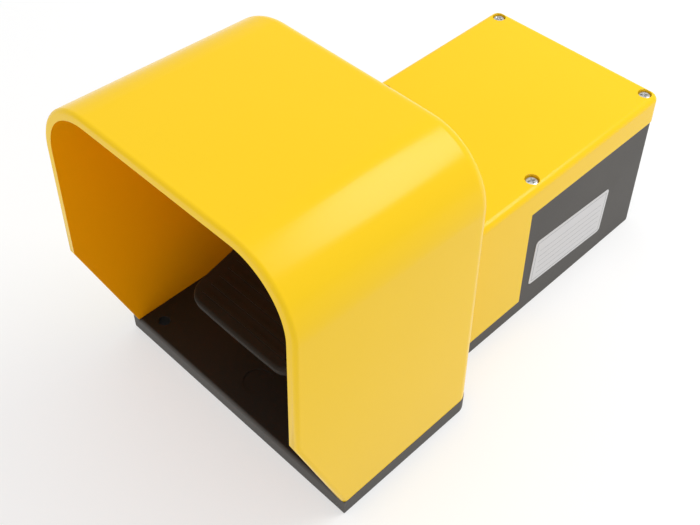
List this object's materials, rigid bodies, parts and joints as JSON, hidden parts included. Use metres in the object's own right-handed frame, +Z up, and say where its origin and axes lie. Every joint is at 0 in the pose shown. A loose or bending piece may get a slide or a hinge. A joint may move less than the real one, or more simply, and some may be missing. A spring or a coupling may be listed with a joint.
{
  "type": "industrial foot switch",
  "caption": "Hooded foot switch: a toe guard over a sprung rear-hinged pedal that pushes a contact plunger in a screwed-down wiring compartment.",
  "frame": {"origin": "on the floor under the middle of the switch's bounding box", "axes": "+Z up, +Y from the toe opening to the cable entry at the rear, +X to the right seen from the toe"},
  "size_m": [0.16, 0.289, 0.1755],
  "materials": {
    "yellow_shell": "moulded, satin gloss",
    "dark_base": "moulded, fine texture",
    "pedal_black": "moulded, ribbed tread",
    "zinc_steel": "zinc plated",
    "bright_steel": "ground",
    "spring_steel": "drawn wire",
    "rubber": "moulded",
    "bush_plastic": "moulded acetal",
    "block_plastic": "moulded",
    "lid_plastic": "moulded",
    "plunger_plastic": "moulded",
    "contact_brass": "stamped strip"
  },
  "bodies": {
    "housing": {"toe_guard": "yellow_shell", "rear_cover": "yellow_shell", "base_tray": "dark_base", "guard_screws": "zinc_steel", "cover_screws": "zinc_steel", "pivot_bracket": "zinc_steel", "bracket_screws": "zinc_steel", "contact_block_screws": "zinc_steel", "terminal_screws": "zinc_steel", "pivot_shaft": "bright_steel", "shaft_clips": "bright_steel", "return_spring": "spring_steel", "plunger_spring": "spring_steel", "cover_gasket": "rubber", "rest_stop_pad": "rubber", "end_stop_pads": "rubber", "plunger_seal": "rubber", "contact_block_body": "block_plastic", "contact_block_lid": "lid_plastic", "nc_terminals": "contact_brass", "no_terminals": "contact_brass"},
    "pedal": {"pedal": "pedal_black", "pivot_bushes": "bush_plastic"},
    "plunger": {"contact_plunger": "plunger_plastic", "nc_bridge": "contact_brass", "no_bridge": "contact_brass"}
  },
  "joints": [
    {"name": "pedal_press", "type": "hinge", "parent": "housing", "child": "pedal", "pos_m": [0, 0.0096, 0.062], "axis": [1, 0, 0], "range_deg": [0, 12], "stiffness_Nm_per_rad": 8.6, "springref_deg": -9.74, "deforming": ["return_spring"]},
    {"name": "plunger_slide", "type": "slide", "parent": "housing", "child": "plunger", "axis": [0, 1, 0], "range_m": [0, 0.0061], "deforming": ["plunger_spring"]}
  ],
  "couplings": [
    {"joint": "plunger_slide", "follows": "pedal_press", "m_per_rad": 0.02865}
  ]
}
